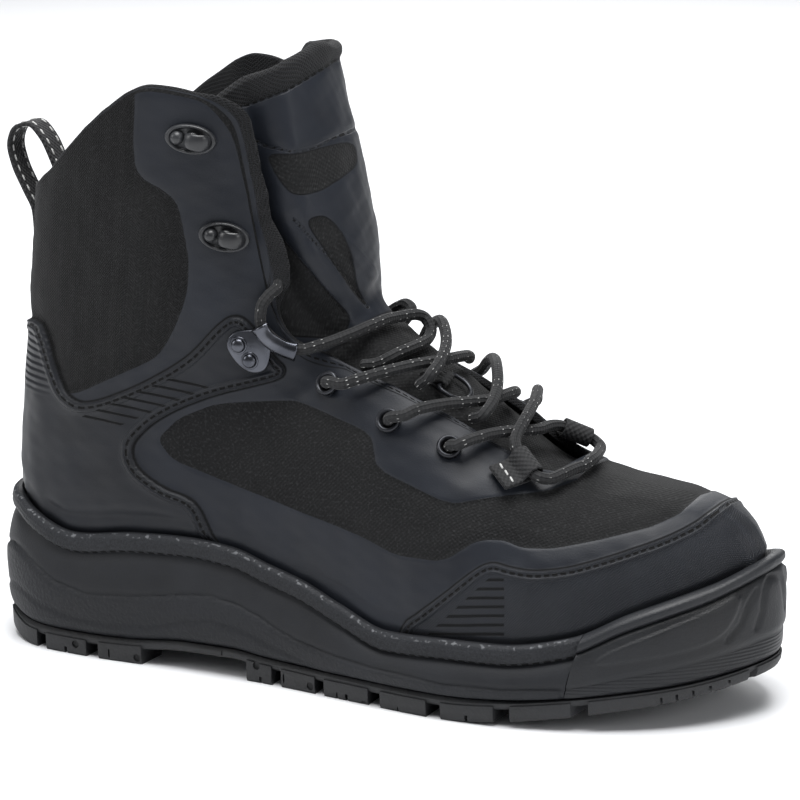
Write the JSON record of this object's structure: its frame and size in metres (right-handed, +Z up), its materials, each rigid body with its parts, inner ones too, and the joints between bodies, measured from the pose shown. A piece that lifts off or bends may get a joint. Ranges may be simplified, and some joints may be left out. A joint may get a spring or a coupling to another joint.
{
  "type": "wading boot",
  "caption": "High lace-up wading boot on a lugged rubber sole with a wrapped toe bumper, padded tongue, overlays, speed hooks and a heel pull loop.",
  "frame": {"origin": "middle of the box round the boot, on the floor that the tread stands on", "axes": "+X towards the toe, +Y towards the inner (medial) side, +Z up"},
  "size_m": [0.3178, 0.116, 0.2364],
  "materials": {
    "tread_rubber": "matte black moulded rubber",
    "midsole_rubber": "satin black moulded rubber with a fine grain low on the side",
    "bumper_rubber": "satin black moulded rubber",
    "lining": "black knitted lining",
    "upper_fabric": "near-black heathered woven fabric",
    "tongue_fabric": "near-black woven fabric with film panels",
    "counter_rubber": "dark grey matte coated panel",
    "cap_fabric": "black coated fabric with a fine diamond mesh",
    "film": "bluish black matte film overlay",
    "eyelet_metal": "black coated metal with worn edges",
    "hook_plastic": "black coated lace hook with a bright rivet",
    "hook_metal": "gunmetal, brushed and slightly worn",
    "webbing": "black woven webbing with pale stitches",
    "lace_cord": "black braided lace with pale flecks along it"
  },
  "bodies": {
    "boot": {"outsole": "tread_rubber", "midsole": "midsole_rubber", "toe_bumper": "bumper_rubber", "insole": "lining", "upper": "upper_fabric", "tongue": "tongue_fabric", "heel_counter": "counter_rubber", "toe_cap": "cap_fabric", "eyestay": "film", "eyelet_lateral_1": "eyelet_metal", "eyelet_lateral_2": "eyelet_metal", "eyelet_lateral_3": "eyelet_metal", "eyelet_medial_1": "eyelet_metal", "eyelet_medial_2": "eyelet_metal", "eyelet_medial_3": "eyelet_metal", "speed_hook_lateral_1": "hook_plastic", "speed_hook_lateral_2": "hook_plastic", "speed_hook_medial_1": "hook_plastic", "speed_hook_medial_2": "hook_plastic", "lock_hook_lateral": "hook_metal", "lock_hook_medial": "hook_metal", "lace_loop_lateral": "webbing", "lace_loop_medial": "webbing", "ring_tab": "webbing", "pull_loop": "webbing", "lace_crossing_1": "lace_cord", "lace_crossing_2": "lace_cord", "lace_crossing_3": "lace_cord", "lace_bight": "lace_cord", "lace_end_outer": "lace_cord", "lace_end_inner": "lace_cord"},
    "ring": {"d_ring": "hook_metal"}
  },
  "joints": [
    {"name": "ring_swing", "type": "hinge", "parent": "boot", "child": "ring", "pos_m": [0.0299, -0.00853, 0.11651], "axis": [0, -0.9732, -0.2301], "range_deg": [0, 60]}
  ]
}
